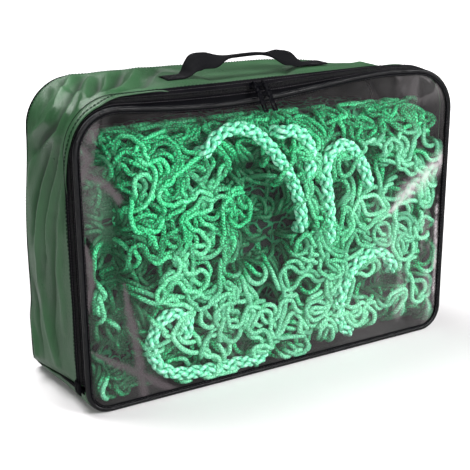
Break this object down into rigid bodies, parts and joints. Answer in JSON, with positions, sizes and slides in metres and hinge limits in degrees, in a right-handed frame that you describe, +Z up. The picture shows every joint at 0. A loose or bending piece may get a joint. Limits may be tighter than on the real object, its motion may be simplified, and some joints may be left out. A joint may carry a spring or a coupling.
{
  "type": "net in a carry bag",
  "caption": "Coarse rope net packed in a soft zipped carry bag with a clear front panel, piped edges and a webbing handle.",
  "frame": {"origin": "on the ground under the middle of the bag, on the bottom panel's underside", "axes": "+X to the right seen from the clear front, +Y from the front to the back, +Z up"},
  "size_m": [0.5156, 0.1786, 0.38],
  "materials": {
    "green_cloth": "dark green coated nylon, satin, creased",
    "black_trim": "black nylon binding and piping",
    "black_zip": "black nylon coil zip on woven tape",
    "black_webbing": "black woven webbing",
    "clear_film": "clear soft PVC film, glossy, slightly milky and wrinkled",
    "net_cord": "bright green braided polypropylene cord",
    "border_cord": "bright green plaited polypropylene rope",
    "black_metal": "black lacquered zinc"
  },
  "bodies": {
    "bag": {"gusset_strip": "green_cloth", "back_panel": "green_cloth", "bottom_panel": "green_cloth", "back_piping": "black_trim", "corner_binding_left": "black_trim", "corner_binding_right": "black_trim", "zip_tape_outer": "black_zip", "zip_coil_outer": "black_zip", "zip_end_tab_left": "black_trim", "zip_end_tab_right": "black_trim", "handle_tab_left": "black_webbing", "handle_tab_right": "black_webbing", "net_bundle": "net_cord", "border_rope_crown": "border_cord", "border_rope_ring": "border_cord", "border_rope_arch": "border_cord", "border_rope_left": "border_cord", "border_rope_right": "border_cord"},
    "front_panel": {"clear_window": "clear_film", "window_binding": "black_trim", "front_piping": "black_trim", "front_strip": "black_trim", "zip_tape_inner": "black_zip", "zip_coil_inner": "black_zip"},
    "slider_left": {"slider_left": "black_metal"},
    "slider_right": {"slider_right": "black_metal"},
    "pull_left": {"pull_left": "black_metal"},
    "pull_right": {"pull_right": "black_metal"},
    "handle": {"handle_strap": "black_webbing"}
  },
  "joints": [
    {"name": "front_panel_hinge", "type": "hinge", "parent": "bag", "child": "front_panel", "pos_m": [0, -0.077, 0.003], "axis": [1, 0, 0], "range_deg": [0, 88]},
    {"name": "slider_left_slide", "type": "slide", "parent": "front_panel", "child": "slider_left", "axis": [-0.9999, 0, 0.0124], "range_m": [0, 0.145]},
    {"name": "slider_right_slide", "type": "slide", "parent": "front_panel", "child": "slider_right", "axis": [0.9994, 0, 0.035], "range_m": [0, 0.178]},
    {"name": "pull_left_hinge", "type": "hinge", "parent": "slider_left", "child": "pull_left", "pos_m": [-0.03125, -0.07116, 0.35498], "axis": [-1, 0, 0], "range_deg": [0, 110]},
    {"name": "pull_right_hinge", "type": "hinge", "parent": "slider_right", "child": "pull_right", "pos_m": [-0.01875, -0.07116, 0.35521], "axis": [-1, 0, 0], "range_deg": [0, 110]},
    {"name": "handle_swing", "type": "hinge", "parent": "bag", "child": "handle", "pos_m": [0, 0, 0.359], "axis": [1, 0, 0], "range_deg": [-60, 60], "stiffness_Nm_per_rad": 0.02}
  ]
}
